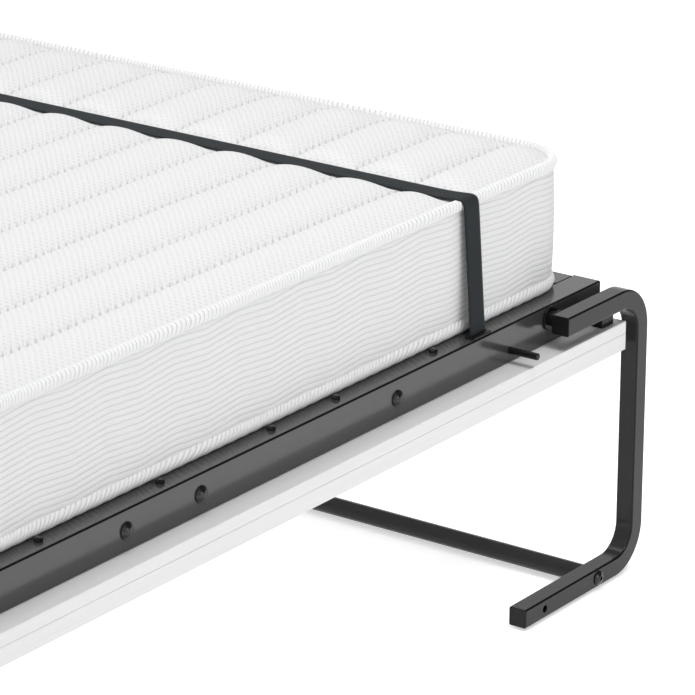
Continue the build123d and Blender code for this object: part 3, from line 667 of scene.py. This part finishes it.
looks = {
    "graphite_powder_coat": painted_steel("graphite_coat", (0.044, 0.044, 0.045), 0.16),
    "stand_powder_coat": painted_steel("stand_coat", (0.023, 0.023, 0.0235), 0.26, edge=0.2),
    "black_steel": gloss_black("black_coat", (0.006, 0.006, 0.0065), 0.2),
    "zinc_hardware": bare_metal("zinc", (0.62, 0.62, 0.64), 0.34),
    "black_bolts": gloss_black("bolt_black", (0.005, 0.005, 0.0055), 0.2, specular=0.5, scratches=0.04),
    "black_plastic": gloss_black("moulded_black", (0.006, 0.006, 0.0065), 0.28, scratches=0.04),
    "beech_plywood": plywood("beech"),
    "white_board": white_board("melamine"),
    "strut_black": gloss_black("strut_paint", (0.01, 0.01, 0.011), 0.2),
    "polished_rod": bare_metal("chrome_rod", (0.8, 0.8, 0.82), 0.08),
}
# Painted shade: the leg tubes wear a darker, less glossy copy of the graphite coat, so they render darker
# than the rails in the same finish.
leg_coat_painted_shade = painted_steel("leg_coat_painted_shade", (0.018, 0.018, 0.0185), 0.17, specular=0.24)
slot_of = {s["node"]: s["material_slot"] for s in frame["record"]["subparts"]}
leg_nodes = ("leg_tube_left", "leg_tube_right", "leg_cross_tube")
for node, obj in frame["nodes"].items():
    look = leg_coat_painted_shade if node in leg_nodes else looks.get(slot_of[node])
    if look is None:
        continue
    obj.data.materials.clear()
    obj.data.materials.append(look)

# ---------------------------------------------------------------- stage, light, camera
floor_mesh = bpy.data.meshes.new("floor")
floor_mesh.from_pydata([(-FLOOR_REACH, -FLOOR_REACH, 0), (FLOOR_REACH, -FLOOR_REACH, 0),
                        (FLOOR_REACH, FLOOR_REACH, 0), (-FLOOR_REACH, FLOOR_REACH, 0)], [], [(0, 1, 2, 3)])
floor_mat = material("floor_paper", (0.93, 0.93, 0.93), 0.9)
floor_nodes = Nodes(floor_mat)
floor_nodes.link(floor_nodes.mix(floor_nodes.noise(floor_nodes.coords(), 3.0), (0.925, 0.925, 0.925),
                                 (0.935, 0.935, 0.935)), floor_nodes.bsdf.inputs["Base Color"])
floor_nodes.bsdf.inputs["Emission Color"].default_value = (1, 1, 1, 1)
floor_nodes.bsdf.inputs["Emission Strength"].default_value = FLOOR_GLOW
floor_nodes.bsdf.inputs["Specular IOR Level"].default_value = 0.0
floor_mesh.materials.append(floor_mat)
floor = bpy.data.objects.new("floor", floor_mesh)
bpy.context.collection.objects.link(floor)

world = bpy.data.worlds.new("studio")
bpy.context.scene.world = world
world.use_nodes = True
sky = Nodes(world, "Background")
sky.bsdf.inputs["Strength"].default_value = SKY_STRENGTH
toward = sky.new("ShaderNodeTexCoord").outputs["Generated"]
level = sky.ramp(sky.split(toward)[2], (0.0, (0.9,) * 3), (0.18, (1.15,) * 3),
                 (0.42, (1.1,) * 3), (0.7, (0.42,) * 3))
lobe = sky.put(sky.new("ShaderNodeVectorMath", operation="DOT_PRODUCT"), i0=toward, i1=DARK_PATCH_DIRECTION)
shade = sky.span(lobe.outputs["Value"], 0.6, 0.86, 0.0, 0.9)
sky.link(sky.mix(shade, level, (0.02, 0.02, 0.02)), sky.bsdf.inputs["Color"])


def area_light(name, place, aim, size, watts):
    data = bpy.data.lights.new(name, "AREA")
    data.shape = "SQUARE"
    data.size = size
    data.energy = watts
    obj = bpy.data.objects.new(name, data)
    bpy.context.collection.objects.link(obj)
    obj.location = place
    obj.rotation_euler = (Vector(aim) - Vector(place)).to_track_quat("-Z", "Y").to_euler()


area_light("top_box", (0.6, 0.3, 4.0), (0.6, 0.0, 0.4), 3.0, 73)
area_light("key", (0.3, -2.1, 3.8), (0.3, -0.6, 0.3), 1.2, 50)
area_light("side_box", (1.1, -4.6, 0.8), (0.2, -0.7, 0.3), 0.5, 11)

cam_data = bpy.data.cameras.new("camera")
cam = bpy.data.objects.new("camera", cam_data)
bpy.context.collection.objects.link(cam)
cam.location = CAMERA_PLACE
cam.rotation_euler = [math.radians(v) for v in CAMERA_TURN_DEG]
cam_data.lens = CAMERA_LENS
cam_data.sensor_width = 36.0
cam_data.clip_start, cam_data.clip_end = 0.1, 60.0
bpy.context.scene.camera = cam
bpy.context.scene.view_settings.view_transform = "Standard"
